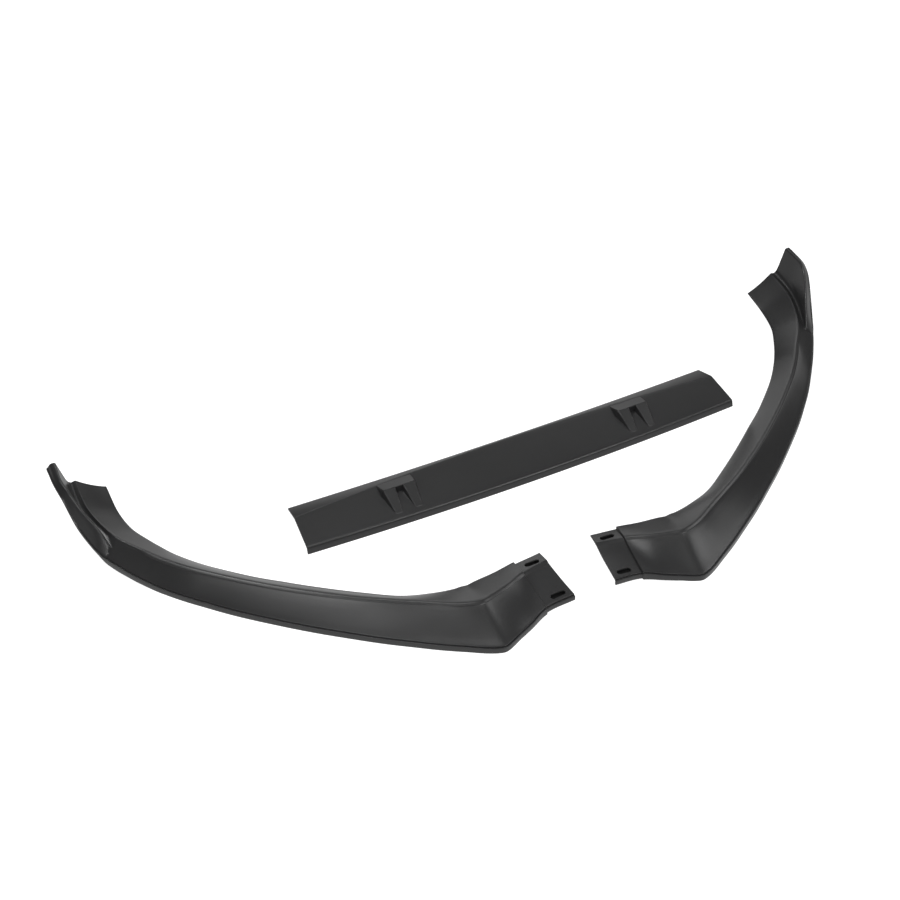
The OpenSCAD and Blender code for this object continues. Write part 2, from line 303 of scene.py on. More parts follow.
class ShapeTree(NodeTree):
    """Geometry node tree with named inputs, which ends in a plain mesh with its material."""

    def __init__(self, name: str, inputs: dict[str, str]) -> None:
        """Makes the tree and its inputs.

        Args:
            name: Name of the tree.
            inputs: Socket type of each input, by name. Geometry comes first by itself.
        """
        super().__init__(bpy.data.node_groups.new(name, "GeometryNodeTree"))
        face = self.tree.interface
        face.new_socket("Geometry", in_out="INPUT", socket_type="NodeSocketGeometry")
        face.new_socket("Geometry", in_out="OUTPUT", socket_type="NodeSocketGeometry")
        self.sockets = {
            key: face.new_socket(key, in_out="INPUT", socket_type=kind) for key, kind in inputs.items()
        }
        self.start = self.node("NodeGroupInput")

    def geo(self, kind: str, inputs: dict[Any, Any] | None = None, **settings: Any) -> bpy.types.Node:
        """New node of the GeometryNode family."""
        return self.node("GeometryNode" + kind, inputs, **settings)

    def value(self, name: str) -> bpy.types.NodeSocket:
        """Output of the tree's named input."""
        return self.start.outputs[name]

    def close(self, geometry: bpy.types.NodeSocket) -> None:
        """Ends the tree: instances made real, material set.

        Args:
            geometry: What the tree puts out.
        """
        real = self.geo("RealizeInstances", {"Geometry": geometry})
        dressed = self.geo("SetMaterial", {
            "Geometry": real.outputs[0], "Material": self.value("Material")})
        end = self.node("NodeGroupOutput")
        self.put(end.inputs[0], dressed.outputs[0])

    def shaped(self, name: str, base: bpy.types.Mesh, values: dict[str, Any]) -> bpy.types.Object:
        """Piece made by the tree from a base mesh.

        Args:
            name: Name of the piece.
            base: Mesh that goes into the tree.
            values: Value of each input of the tree.

        Returns:
            An object with a plain mesh and no modifier.
        """
        source = linked(name + "_base", base)
        modifier = source.modifiers.new("shape", "NODES")
        modifier.node_group = self.tree
        for key, value in values.items():
            modifier[self.sockets[key].identifier] = value
        depsgraph = bpy.context.evaluated_depsgraph_get()
        mesh = bpy.data.meshes.new_from_object(source.evaluated_get(depsgraph), depsgraph=depsgraph)
        source.modifiers.clear()
        bpy.data.objects.remove(source)
        return linked(name, mesh)


def smooth_shaded(piece: bpy.types.Object, sharp_deg: float = 38) -> None:
    """Shades a piece smoothly between its sharp edges.

    Args:
        piece: Object with a mesh.
        sharp_deg: Angle in degrees from which an edge stays sharp.
    """
    mesh = piece.data
    mesh.polygons.foreach_set("use_smooth", [True] * len(mesh.polygons))
    mesh.set_sharp_from_angle(angle=math.radians(sharp_deg))
    mesh.update()


# ---- Finishes

class GrainGroup:
    """Shader node group for the fine grain of moulded plastic, shared by all pieces."""

    NAME = "moulded_grain"
    FINE_SHARE = 0.6
    SCUFF_PER_M = 22.0
    SCUFF_STRETCH = (1.0, 6.0, 3.0)
    SCUFF_TURN = (0.3, 0.1, 0.7)
    SCUFF_RANGE = (0.5, 0.95)

    @classmethod
    def tree(cls) -> bpy.types.NodeTree:
        """The group, built on its first use."""
        found = bpy.data.node_groups.get(cls.NAME)
        return found or cls._built()

    @classmethod
    def _built(cls) -> bpy.types.NodeTree:
        """Builds the group: grain height, slow clouds and streaks of scuffing.

        Returns:
            The new group.
        """
        tree = bpy.data.node_groups.new(cls.NAME, "ShaderNodeTree")
        for name, kind in (("Vector", "NodeSocketVector"), ("Grain per metre", "NodeSocketFloat"),
                           ("Cloud per metre", "NodeSocketFloat")):
            tree.interface.new_socket(name, in_out="INPUT", socket_type=kind)
        for name in ("Grain", "Cloud", "Scuff"):
            tree.interface.new_socket(name, in_out="OUTPUT", socket_type="NodeSocketFloat")
        build = NodeTree(tree)
        start = build.node("NodeGroupInput")
        place, per_metre = start.outputs["Vector"], start.outputs["Grain per metre"]
        cells = build.shader("TexVoronoi", {"Vector": place, "Scale": per_metre, "Randomness": 1.0},
                             feature="SMOOTH_F1")
        fine = build.shader("TexNoise", {
            "Vector": place, "Scale": per_metre, "Detail": 2.0, "Roughness": 0.6})
        grain = build.math("MULTIPLY_ADD", fine.outputs["Fac"], cls.FINE_SHARE, cells.outputs["Distance"])
        cloud = build.shader("TexNoise", {
            "Vector": place, "Scale": start.outputs["Cloud per metre"], "Detail": 3.0, "Roughness": 0.5})
        stretched = build.shader("Mapping", {
            "Vector": place, "Scale": cls.SCUFF_STRETCH, "Rotation": cls.SCUFF_TURN})
        scuffs = build.shader("TexNoise", {
            "Vector": stretched.outputs[0], "Scale": cls.SCUFF_PER_M, "Detail": 4.0, "Roughness": 0.7})
        mask = build.ranged(scuffs.outputs["Fac"], cls.SCUFF_RANGE, (0.0, 1.0), "LINEAR")
        end = build.node("NodeGroupOutput")
        build.put(end.inputs["Grain"], grain)
        build.put(end.inputs["Cloud"], cloud.outputs["Fac"])
        build.put(end.inputs["Scuff"], mask)
        return tree


@dataclass(frozen=True)
class SatinPlastic:
    """Unpainted black plastic, moulded with a fine satin grain.

    Attributes:
        name: Name of the material.
        shade: Linear grey of the plastic.
        shade_range: Darkest and lightest share of the shade over the piece.
        tint: Share by which red and green lie below blue.
        rough: Roughness of the surface.
        rough_range: How far the roughness drifts over the piece.
        scuff_rough: How much rougher the scuffs are.
        specular: Specular level.
        rim_rough: How much rougher the surface looks where it is seen edge-on.
        rim_facing: Facing values between which the rim's roughness sets in.
        cloud_per_m: Clouds of shade and roughness on each metre.
        grain_mm: Size of the grain.
        grain_depth_mm: Height of the grain.
        grain_strength: Strength of the grain's bump.
    """

    name: str
    shade: float = 0.021
    shade_range: tuple[float, float] = (0.93, 1.08)
    tint: float = 0.02
    rough: float = 0.3
    rough_range: float = 0.05
    scuff_rough: float = 0.04
    specular: float = 0.5
    rim_rough: float = 0.55
    rim_facing: tuple[float, float] = (0.86, 0.97)
    cloud_per_m: float = 9.0
    grain_mm: float = 0.55
    grain_depth_mm: float = 0.02
    grain_strength: float = 0.35

    def colour(self, share: float) -> tuple[float, float, float, float]:
        """Colour of the plastic at a share of its shade."""
        blue = self.shade * share
        return (blue * (1 - self.tint), blue * (1 - self.tint), blue, 1.0)

    def material(self) -> bpy.types.Material:
        """Builds the node material.

        Returns:
            The new material.
        """
        made = bpy.data.materials.new(self.name)
        build = NodeTree.of_material(made)
        group = build.shader("Group", node_tree=GrainGroup.tree())
        build.put(group.inputs["Vector"], build.shader("TexCoord").outputs["Object"])
        build.put(group.inputs["Grain per metre"], 1 / (self.grain_mm * MM))
        build.put(group.inputs["Cloud per metre"], self.cloud_per_m)
        dark, light = (self.colour(share) for share in self.shade_range)
        shades = build.shader("Mix", {"Factor": group.outputs["Cloud"], 6: dark, 7: light},
                              data_type="RGBA")
        drift = build.math("MULTIPLY_ADD", group.outputs["Cloud"], self.rough_range,
                           self.rough - self.rough_range / 2)
        scuffed = build.math("MULTIPLY_ADD", group.outputs["Scuff"], self.scuff_rough, drift)
        facing = build.shader("LayerWeight", {"Blend": 0.5}).outputs["Facing"]
        rough = build.math("ADD", scuffed, build.ranged(facing, self.rim_facing, (0.0, self.rim_rough)))
        bump = build.shader("Bump", {
            "Height": group.outputs["Grain"], "Strength": self.grain_strength,
            "Distance": self.grain_depth_mm * MM})
        build.surface(build.shader("BsdfPrincipled", {
            "Base Color": shades.outputs[2], "Roughness": rough, "Normal": bump.outputs[0],
            "Metallic": 0.0, "IOR": 1.5, "Specular IOR Level": self.specular}))
        return made


# ---- Corner lips

@dataclass
class CornerLip:
    """One corner lip: a thin shell with its front strip, ridge, inner flange, tongue and rear fin.

    Places along the lip are distances along its ridge, from the line between tongue and body.

    Attributes:
        side: Side of the set.
        depth, wall: Depth from the front corner to the cut rear end, thickness of the walls.
        corner_x, ridge_h: Distance of the front corner from the set's middle, ridge's height there.
        strip_h, strip_draft: Height of the front strip, how far its top lies behind its foot.
        ledge_w, ledge_step, groove: Edge of the face over the strip, channel between them.
        fin_tip, fin_h, crest_w: Place where the fin starts, its height, width of its crest.
        rim_h, rim_edge: Height of the fin's outer rim and of the edge under it.
        cap_share, cap_round: Where the fin's outer face bends, extra softness of its top.
        tongue_reach, tongue_drop, tongue_inset: Length of the tongue, how far it lies inside the body.
        tongue_lip_h: Height of the tongue's front edge.
        slot_len, slot_w, slots: Size of the slots, and their middles from the set's middle and
            from the front corner.
        brow_in, brow_rise: How far the rounded brow lies inside the ridge, how much higher it is.
        nose, nose_sink: Size of the small drop under the ridge, how far the face sinks with it.
        face_hollow: Depth of the hollow in the face.
        station_step: Distance between two sections.
        ..._end, ..._fade: Place where a form starts to fade, length over which it fades.
    """

    side: Side
    depth: float = 500
    corner_x: float = 154
    ridge_h: float = 36
    wall: float = 3
    strip_h: float = 9.5
    strip_draft: float = 0.5
    ledge_w: float = 2.5
    ledge_step: float = 1.2
    ledge_end: float = 640
    ledge_fade: float = 50
    groove: float = 0.8
    fin_tip: float = 606
    fin_h: float = 99.2
    rim_h: float = 95
    rim_edge: float = 4.5
    crest_w: float = 2.5
    cap_share: float = 0.6
    cap_round: float = 1.1
    tongue_reach: float = 42
    tongue_drop: float = 3
    tongue_inset: float = 2
    tongue_lip_h: float = 8
    slot_len: float = 22
    slot_w: float = 8
    slots: tuple[tuple[float, float], ...] = ((59, 107), (51, 45))
    brow_in: float = 4
    brow_rise: float = 0.7
    nose: tuple[float, float] = (1.3, 1.6)
    nose_sink: float = 1.5
    nose_end: float = 545
    nose_fade: float = 55
    face_hollow: float = 1.2
    station_step: float = 3

    # Points of the ridge from the front corner and ridge_h. The tongue ends at point STEP_POINT,
    # where the distances along the ridge start.
    RIDGE = (
        (-115, 98, -7), (-75, 90.5, -7.5), (-46.5, 77.5, -4), (-11, 66, -1.5), (3, 63, 0), (31, 71, 0),
        (66, 90, 0), (148, 134.5, 3), (238, 198, 2.4), (325, 273, 1), (367, 319, 0), (399, 365, 2),
        (418, 397.5, 6.5), (432, 444, 14), (434, 500, 20))
    STEP_POINT = 1
    # Laws along the ridge. A run is measured outwards or, on the flange, inwards from the ridge, and
    # a point on the fin is its run and its height. The turn of the sections in plan is in degrees.
    RIDGE_CUT = Law(((-50, 5), (200, 4), (500, 4), (640, 3), (700, 2), (730, 1.5)))
    SECTION_TURN = Law((
        (-50, -96), (0, -94), (83, -92), (112, -76), (152, -62), (245, -59), (356, -51), (470, -46),
        (533, -39), (604, -30), (652, -17), (675, -9), (700, -3), (730, 0)))
    FLANGE_RUN = Law((
        (-50, 24), (0, 29.5), (31, 38), (83, 48.5), (112, 44), (152, 35.2), (192, 30.2), (245, 33.7),
        (356, 36.6), (413, 34.6), (566, 35.2), (626, 38.6), (675, 42), (730, 41.5)))
    FLANGE_EDGE_H = Law((
        (-50, 28), (0, 25), (83, 21.5), (192, 16), (299, 12), (356, 10.5), (413, 11), (533, 13),
        (566, 15.5), (626, 18), (675, 20.5), (700, 23.5), (730, 27)))
    FLANGE_BOW = Law(((-50, 0), (83, 0.6), (300, 1), (566, 0.6), (640, 0), (675, -1.2), (730, -2.6)))
    FACE_RUN = Law((
        (-50, 70.5), (0, 61.2), (51, 61), (83, 64.3), (112, 52.8), (152, 48.8), (192, 44.7), (245, 38.9),
        (299, 35.6), (356, 32.7), (413, 30.8), (470, 28), (533, 26.7), (566, 27.8), (589, 28.4),
        (626, 28.4), (652, 30), (675, 31.5), (700, 34.3), (730, 35)))
    STRIP_RISE = Law((
        (-50, 15.5), (0, 8), (31, 4), (60, 0.5), (83, 0), (500, 0), (520, 0.3), (533, 1.1), (566, 5.2),
        (604, 11.5)))
    FOOT_H = Law((
        (-50, 17), (0, 6), (31, 3.5), (60, 0.5), (69, 0), (520, 0), (533, 0.8), (566, 4.6), (604, 11.5),
        (626, 25.5)))
    SHOULDER = Law((
        (606, (12, 32)), (613, (7, 35.5)), (620, (3.6, 38)), (652, (3.8, 43.2)), (675, (4.4, 46.8)),
        (700, (4.4, 51)), (730, (3.5, 54.9))))
    VALLEY = Law((
        (606, (12.6, 31.7)), (613, (11.4, 33.6)), (626, (9.4, 37.4)), (652, (8.6, 42)), (675, (8.4, 45.4)),
        (700, (7.6, 49.6)), (730, (6.4, 54))))
    BASE = Law((
        (606, (12.9, 31.6)), (613, (11.8, 35)), (626, (10.6, 40)), (652, (11.4, 46)), (675, (12, 50.6)),
        (700, (12, 54.6)), (730, (11.2, 58.8))))
    CREST = Law((
        (606, (13.2, 0.32)), (613, (12.2, 0.404)), (626, (11.6, 0.547)), (652, (15.4, 0.73)),
        (675, (19.2, 0.925)), (690, (21.6, 0.982)), (700, (22.2, 0.996)), (730, (21, 1.004))))
    RIM = Law(((604, 0.22), (626, 0.32), (652, 0.54), (675, 0.85), (690, 0.94), (700, 0.96), (730, 0.975)))
    CAP_RISE = Law(((606, 0), (675, 0.2), (700, 1), (730, 2.8)))

    # Five corners on the face: their run at the fin's tip, and their share of the run before it.
    FACE_CORNERS = ((12, 0.25), (12.5, 0.38), (12.9, 0.5), (13.3, 0.62), (13.8, 0.76))
    # How far the curve of each corner starts from it, and the steps on the curve.
    ROUNDS = {"edge": (0.9, 3), "flange": (6, 3), "lip": (0.6, 3), "under_lip": (0.3, 2),
              "shoulder": (1.8, 3), "valley": (2.5, 3), "base": (6, 5), "inner": (1.2, 3),
              "outer": (1.4, 3), "cap": (3.5, 4), "toe": (0.45, 3), "nook": (0.3, 2),
              "strip": (0.9, 4), "foot": (0.8, 3), "foot_in": (0.5, 2), "strip_in": (0.6, 2),
              "inside": (0.8, 2), "under_ridge": (2, 3), "under_flange": (3, 2), "flange_in": (0.7, 2)}
    RIDGE_STEPS = 8
    FACE_SOFTNESS = 7  # how much longer the curves on the face are, away from the fin
    FLANGE_SHARES = (0.2, 0.4, 0.6, 0.8)
    # Lengths along the ridge over which one shape turns into another.
    RIM_BLEND, FIN_BLEND, FOOT_BLEND, FACE_BLEND = 14, 16, 22, 60
    CAP_START, CAP_BLEND = 680, 30
    # Depth of the fin's hollow at which the wall starts to follow it, and over how much more.
    DEEP_START, DEEP_BLEND = 6, 14

    @property
    def label(self) -> str:
        """Word for the side in the names of pieces."""
        return self.side.name.lower()

    def ridge(self) -> tuple[Law, float]:
        """The ridge's place in the lip's own frame as a law, and the distance at its rear end.

        Returns:
            Law of [x, y, z] along the ridge, and the length of the ridge.
        """
        places = np.array(self.RIDGE, float)
        chords = np.linalg.norm(np.diff(places[:, :2], axis=0), axis=1)
        walked = np.concatenate([[0], np.cumsum(chords)])
        walked -= walked[self.STEP_POINT]
        places += np.array([self.corner_x, 0, self.ridge_h])
        law = Law(tuple((float(s), tuple(p)) for s, p in zip(walked, places.tolist())))
        return law, float(walked[-1])

    def edge_height(self, s: np.ndarray) -> np.ndarray:
        """Height of the face's outer edge: the front strip's top, then the fin's rim.

        Args:
            s: Distances along the ridge.

        Returns:
            One height for each distance.
        """
        first = self.RIM.knots[0][0]
        strip = self.strip_h + self.STRIP_RISE(np.minimum(s, first))
        rim = self.rim_h * self.RIM(np.maximum(s, first))
        return mix(strip, rim, ease((s - first) / self.RIM_BLEND))

    def rails(self, s: np.ndarray, tongue: np.ndarray) -> list[tuple[np.ndarray, float, int]]:
        """Corners of the section at each station.

        Args:
            s: Distance of each station along the ridge.
            tongue: 1 where the station lies on the tongue, 0 on the body.

        Returns:
            Corners as turned_corners takes them, from the inner edge over the skin to the
            foot and back along the inside of the wall.
        """
        ridge, _ = self.ridge()
        drop, inset = tongue * self.tongue_drop, tongue * self.tongue_inset
        fin = ease((s - self.fin_tip) / self.FIN_BLEND)
        on_fin = np.maximum(s, self.fin_tip)
        before = s <= self.fin_tip
        pick = before[:, None]
        faded = ease((s - self.ledge_end) / self.ledge_fade)
        nose = 1 - ease((s - self.nose_end) / self.nose_fade)
        ridge_cut = self.RIDGE_CUT(s)
        zero = 0 * s

        # Front edge: the strip, then the fin's rim.
        foot_run = self.FACE_RUN(s) - inset
        face = foot_run - self.strip_draft * (1 - fin)
        edge_z = self.edge_height(s) - drop
        foot_z = np.maximum(0, self.FOOT_H(np.minimum(s, self.FOOT_H.knots[-1][0])))
        low = np.where(tongue > 0, edge_z - self.tongue_lip_h,
                       mix(foot_z, edge_z - self.rim_edge, ease((s - self.fin_tip) / self.FOOT_BLEND)))
        toe = points(face - self.ledge_w, edge_z + self.ledge_step * (1 - faded) + 0.2)

        # Ridge, with its brow and the small drop under it.
        flange = self.FLANGE_RUN(s) - inset
        flange_z = self.FLANGE_EDGE_H(s) - drop
        low_top = ridge(s)[:, 2] - drop
        top = low_top + ((low_top - flange_z) / flange + (low_top - toe[:, 1]) / toe[:, 0]) * ridge_cut / 4
        brow = points(-self.brow_in * nose, mix(top, low_top + self.brow_rise, nose))
        top = mix(top, low_top - self.nose_sink, nose)
        flange_slope, face_slope = (low_top - flange_z) / flange, (top - toe[:, 1]) / toe[:, 0]

        # Face: five corners, which become the fin behind its tip.
        spread = np.clip((self.fin_tip - s) / self.FACE_BLEND, 0, 1)
        dent = 4 * self.face_hollow * spread
        on_face = []
        for near, far in self.FACE_CORNERS:
            run = mix(near, far * face, spread)
            on_face.append(points(run, top - face_slope * run - dent * (run / face) * (1 - run / face)))
        crest = self.CREST(on_fin)
        crest_z = crest[:, 1] * self.fin_h
        shoulder = np.where(pick, on_face[0], self.SHOULDER(on_fin))
        valley = np.where(pick, on_face[1], self.VALLEY(on_fin))
        base = np.where(pick, on_face[2], self.BASE(on_fin))
        inner = np.where(pick, on_face[3], points(crest[:, 0], crest_z - self.crest_w * 0.6))
        outer = np.where(pick, on_face[4], points(crest[:, 0] + self.crest_w, crest_z))
        out_slope = (outer[:, 1] - toe[:, 1]) / (toe[:, 0] - outer[:, 0])
        rim_toe = points(toe[:, 0], edge_z + self.ledge_w * (outer[:, 1] - edge_z) / (face - outer[:, 0]))
        toe = mix(toe, rim_toe, faded[:, None])
        nook = mix(points(toe[:, 0] + 0.15, edge_z - self.groove), mix(toe, points(face, edge_z), 0.4),
                   faded[:, None])
        cap = mix(outer, toe, self.cap_share) + points(zero, self.CAP_RISE(on_fin))
        lip = mix(mix(brow, shoulder, 0.3), points(self.nose[0] + zero, low_top - self.nose[1]),
                  nose[:, None])
        under_run = self.nose[0] + 0.3
        under_lip = mix(mix(brow, shoulder, 0.4), points(under_run + zero, top - face_slope * under_run),
                        nose[:, None])

        # Inside of the wall under the face and the fin.
        out_cut = self.wall * np.sqrt(1 + out_slope ** 2)
        face_cut = self.wall * np.sqrt(1 + face_slope ** 2)
        deep = np.where(before, 0, ease((outer[:, 1] - valley[:, 1] - self.DEEP_START) / self.DEEP_BLEND))
        deep_2 = deep[:, None]
        strip_z = toe[:, 1] + out_slope * (self.wall - self.ledge_w) - out_cut
        strip_in = points(face - self.wall, np.maximum(low + 0.5, strip_z))
        foot_in = points(foot_run - mix(self.wall, 1, fin),
                         mix(low, np.minimum(low + 0.4, strip_in[:, 1]), fin))
        flat_w = points(valley[:, 0], valley[:, 1] - face_cut)
        share = (inner[:, 0] - valley[:, 0]) / (strip_in[:, 0] - valley[:, 0])
        flat_k = mix(flat_w, strip_in, share[:, None])
        fin_k = points(inner[:, 0] + self.wall,
                       outer[:, 1] - out_slope * (self.wall - self.crest_w) - out_cut)
        fin_wk = points(valley[:, 0] + self.wall, valley[:, 1] - 1)

        # Flange and the inside of its wall.
        edge = points(-flange, flange_z)
        bow = self.FLANGE_BOW(s)
        on_flange = [mix(edge, brow, u) + points(zero, bow * 4 * u * (1 - u)) for u in self.FLANGE_SHARES]
        unit = np.sqrt(1 + flange_slope ** 2)
        flange_cut = self.wall * unit
        under = [p - points(0 * flange, flange_cut) for p in on_flange[1:3]]
        flange_in = points(-flange + self.wall * flange_slope / unit, flange_z - self.wall / unit)

        def corner(name: str, at: np.ndarray, more: Any = 0) -> tuple[np.ndarray, Any, int]:
            """The named corner, its curve starting further away by the added length."""
            cut, steps = self.ROUNDS[name]
            return at, cut + more, steps

        soft = self.FACE_SOFTNESS * spread
        cap_round = self.cap_round * ease((s - self.CAP_START) / self.CAP_BLEND)
        return [
            corner("edge", edge), *(corner("flange", p) for p in on_flange),
            (brow, ridge_cut, self.RIDGE_STEPS), corner("lip", lip), corner("under_lip", under_lip),
            corner("shoulder", shoulder, soft), corner("valley", valley, soft),
            corner("base", base, soft), corner("inner", inner, soft),
            corner("outer", outer, soft + cap_round), corner("cap", cap),
            corner("toe", toe, 2 * cap_round), corner("nook", nook),
            corner("strip", points(face, edge_z)), corner("foot", points(foot_run, low)),
            corner("foot_in", foot_in), corner("strip_in", strip_in),
            corner("inside", mix(flat_k, fin_k, deep_2)),
            corner("inside", mix(mix(flat_w, flat_k, 0.5), fin_wk, deep_2)),
            corner("inside", points(valley[:, 0] - 0.5 * deep, valley[:, 1] - face_cut)),
            corner("inside", points(shoulder[:, 0] - deep, shoulder[:, 1] - face_cut)),
            corner("under_ridge", points(zero, low_top - np.maximum(flange_cut, face_cut))),
            *(corner("under_flange", p) for p in reversed(under)), corner("flange_in", flange_in)]

    def stations(self) -> tuple[np.ndarray, np.ndarray, np.ndarray]:
        """Distances of the stations, their shares of tongue, and how far each ring is drawn in.

        Returns:
            Three arrays with one value for each station.
        """
        _, end = self.ridge()
        edge, step, tip, reach = END_ROUND, self.station_step, self.fin_tip, self.tongue_reach
        tongue = np.concatenate([[-reach, -reach + edge], np.arange(-reach + step, -2.5, step), [-1.2]])
        fine = (tip - 18, tip + 60)
        body = np.concatenate([[-edge, 0.0], np.arange(step, fine[0], step), np.arange(*fine, step / 2),
                               np.arange(fine[1], end - step, step), [end - edge, end]])
        s = np.concatenate([tongue, body])
        draw = np.zeros(len(s))
        draw[0] = draw[-1] = draw[len(tongue)] = edge
        return s, np.concatenate([np.ones(len(tongue)), np.zeros(len(body))]), draw

    def path_curve(self) -> tuple[bpy.types.Object, np.ndarray, np.ndarray]:
        """The ridge's plan as a curve, with distances by the laws and by length on the curve.

        Returns:
            The curve, and the two arrays of distances.
        """
        ridge, end = self.ridge()
        beyond = 2
        s = np.linspace(-self.tongue_reach - beyond, end + beyond, 1600)
        plan = ridge(s)[:, :2] * MM
        length = np.concatenate([[0], np.cumsum(np.linalg.norm(np.diff(plan, axis=0), axis=1))])
        curve = bpy.data.curves.new("ridge_plan_" + self.label, "CURVE")
        curve.dimensions = "3D"
        spline = curve.splines.new("POLY")
        spline.points.add(len(s) - 1)
        flat = np.column_stack([plan, np.zeros(len(s)), np.ones(len(s))])
        spline.points.foreach_set("co", flat.ravel())
        return linked(curve.name, curve), s, length

    def unrolled(self, s_table: np.ndarray, length_table: np.ndarray) -> bpy.types.Mesh:
        """The lip as if it were straight: x runs along the ridge, y across it, z up.

        Args:
            s_table: Distances by the laws.
            length_table: Distances by length on the ridge's curve.

        Returns:
            A closed mesh that carries the turn of its sections as an attribute.
        """
        s, tongue, draw = self.stations()
        flat = turned_corners(self.rails(s, tongue))
        for i in np.nonzero(draw)[0]:
            flat[i] = pinched(flat[i], draw[i])
        along = np.interp(s, s_table, length_table)
        along = np.broadcast_to(along[:, None, None], flat.shape[:2] + (1,))
        rings = np.concatenate([along, flat * MM], axis=2)
        mesh = lofted("unrolled_" + self.label, rings)
        turn = mesh.attributes.new("turn", "FLOAT", "POINT")
        angles = np.radians(self.SECTION_TURN(s))
        turn.data.foreach_set("value", np.repeat(angles, flat.shape[1]).astype(np.float32))
        return mesh

    @staticmethod
    def tree() -> ShapeTree:
        """Tree that lays the unrolled lip along the ridge and cuts its slots.

        Returns:
            The filled tree.
        """
        shape = ShapeTree("lip_along_ridge", {
            "Ridge path": "NodeSocketObject", "Side": "NodeSocketFloat", "Set back": "NodeSocketFloat",
            "Slot 1": "NodeSocketVector", "Slot 2": "NodeSocketVector", "Slot length": "NodeSocketFloat",
            "Slot width": "NodeSocketFloat", "Material": "NodeSocketMaterial"})
        parts = shape.shader("SeparateXYZ", {0: shape.geo("InputPosition").outputs[0]})
        turn = shape.geo("InputNamedAttribute", {"Name": "turn"}, data_type="FLOAT").outputs[0]
        path = shape.geo("ObjectInfo", {"Object": shape.value("Ridge path")}, transform_space="ORIGINAL")
        sample = shape.geo("SampleCurve", {"Curves": path.outputs["Geometry"], "Length": parts.outputs[0]},
                           mode="LENGTH", use_all_curves=True)
        ridge = shape.shader("SeparateXYZ", {0: sample.outputs["Position"]})
        x = shape.math("MULTIPLY_ADD", parts.outputs[1], shape.math("COSINE", turn), ridge.outputs[0])
        y = shape.math("MULTIPLY_ADD", parts.outputs[1], shape.math("SINE", turn), ridge.outputs[1])
        side = shape.value("Side")
        placed = shape.vector(shape.math("MULTIPLY", x, side), y, parts.outputs[2])
        lip = shape.geo("SetPosition", {"Geometry": shape.start.outputs[0], "Position": placed})
        mirrored = shape.math("LESS_THAN", side, 0.0)
        lip = shape.geo("FlipFaces", {"Mesh": lip.outputs[0], "Selection": mirrored})

        outline = shape.geo("CurvePrimitiveQuadrilateral", {
            "Width": shape.value("Slot length"), "Height": shape.value("Slot width")})
        nearly_half = 0.4999
        radius = shape.math("MULTIPLY", shape.value("Slot width"), nearly_half)
        round_end = shape.geo("FilletCurve", {"Curve": outline.outputs[0], "Radius": radius, "Count": 14},
                              mode="POLY")
        low, high = -0.02, 0.1
        rise = shape.geo("CurvePrimitiveLine", {"Start": (0, 0, low), "End": (0, 0, high)})
        cutter = shape.geo("CurveToMesh", {
            "Curve": rise.outputs[0], "Profile Curve": round_end.outputs[0], "Fill Caps": True})
        spots = shape.geo("JoinGeometry")
        for name in ("Slot 1", "Slot 2"):
            spot = shape.geo("Points", {"Count": 1, "Position": shape.value(name)})
            shape.put(spots.inputs[0], spot.outputs[0])
        cutters = shape.geo("InstanceOnPoints", {"Points": spots.outputs[0], "Instance": cutter.outputs[0]})
        real = shape.geo("RealizeInstances", {"Geometry": cutters.outputs[0]})
        cut = shape.geo("MeshBoolean", {"Mesh 1": lip.outputs[0], "Mesh 2": real.outputs[0]},
                        operation="DIFFERENCE", solver="EXACT")
        back = shape.math("MULTIPLY", shape.value("Set back"), -1.0)
        moved = shape.geo("Transform", {
            "Geometry": cut.outputs[0], "Translation": shape.vector(0.0, back, 0.0)})
        shape.close(moved.outputs[0])
        return shape

    def build(self, shape: ShapeTree, material: bpy.types.Material) -> bpy.types.Object:
        """Makes the piece and puts it in the set.

        Args:
            shape: Tree from CornerLip.tree().
            material: Finish of the piece.

        Returns:
            The piece, riding on the root and standing for its node.
        """
        path, s_table, length_table = self.path_curve()
        sign = float(self.side.value)
        spots = [(sign * x * MM, y * MM, 0.0) for x, y in self.slots]
        piece = shape.shaped(self.label + "_corner_shell", self.unrolled(s_table, length_table), {
            "Ridge path": path, "Side": sign, "Set back": self.depth / 2 * MM, "Slot 1": spots[0],
            "Slot 2": spots[1], "Slot length": self.slot_len * MM, "Slot width": self.slot_w * MM,
            "Material": material})
        bpy.data.objects.remove(path)
        smooth_shaded(piece)
        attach(piece, "root")
        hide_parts(self.label + "_corner_lip")
        return piece


# ---- Centre lip

